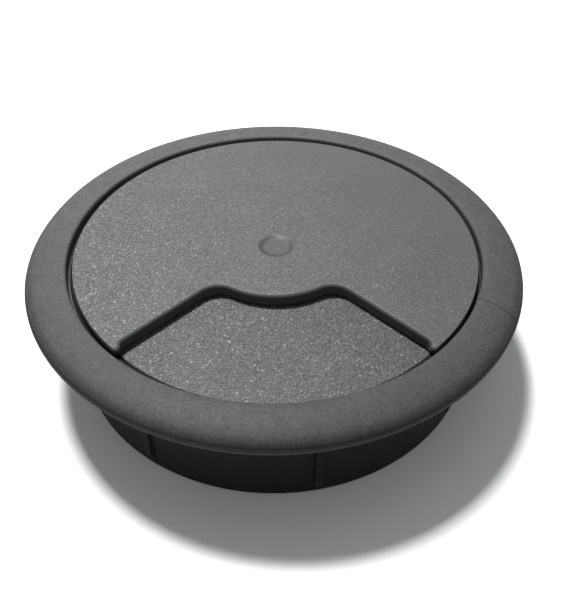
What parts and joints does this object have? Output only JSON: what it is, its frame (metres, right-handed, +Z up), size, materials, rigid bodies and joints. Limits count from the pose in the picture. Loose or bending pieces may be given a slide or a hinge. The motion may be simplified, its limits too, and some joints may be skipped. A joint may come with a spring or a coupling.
{
  "type": "desk grommet",
  "caption": "Round flanged cable grommet for a desk hole, with a loose cap that has a wave-shaped cable notch and a shutter disc that turns under it.",
  "frame": {"origin": "centre of the liner's lower rim, on the plane that the rim stands on", "axes": "+Z up along the liner's axis, out of the desk top; -Y towards the cap's cable notch; +X to the right as seen from the notch side"},
  "size_m": [0.07, 0.07, 0.0184],
  "materials": {
    "liner_plastic": "satin moulded plastic with a fine mottled texture",
    "lid_plastic": "spark-eroded texture with a fine sparkle",
    "zinc_steel": "zinc plated"
  },
  "bodies": {
    "liner": {"liner": "liner_plastic"},
    "washer": {"pivot_washer": "zinc_steel"},
    "lid": {"cap": "lid_plastic", "pivot_screw": "zinc_steel"},
    "shutter": {"shutter": "lid_plastic"}
  },
  "joints": [
    {"name": "lid_lift", "type": "slide", "parent": "liner", "child": "washer", "axis": [0, 0, 1], "range_m": [0, 0.03]},
    {"name": "lid_turn", "type": "hinge", "parent": "washer", "child": "lid", "pos_m": [0.00015, 0, 0.018], "axis": [0, 0, 1], "continuous": true},
    {"name": "shutter_turn", "type": "hinge", "parent": "lid", "child": "shutter", "pos_m": [0.00015, 0, 0.015], "axis": [0, 0, 1], "continuous": true}
  ]
}
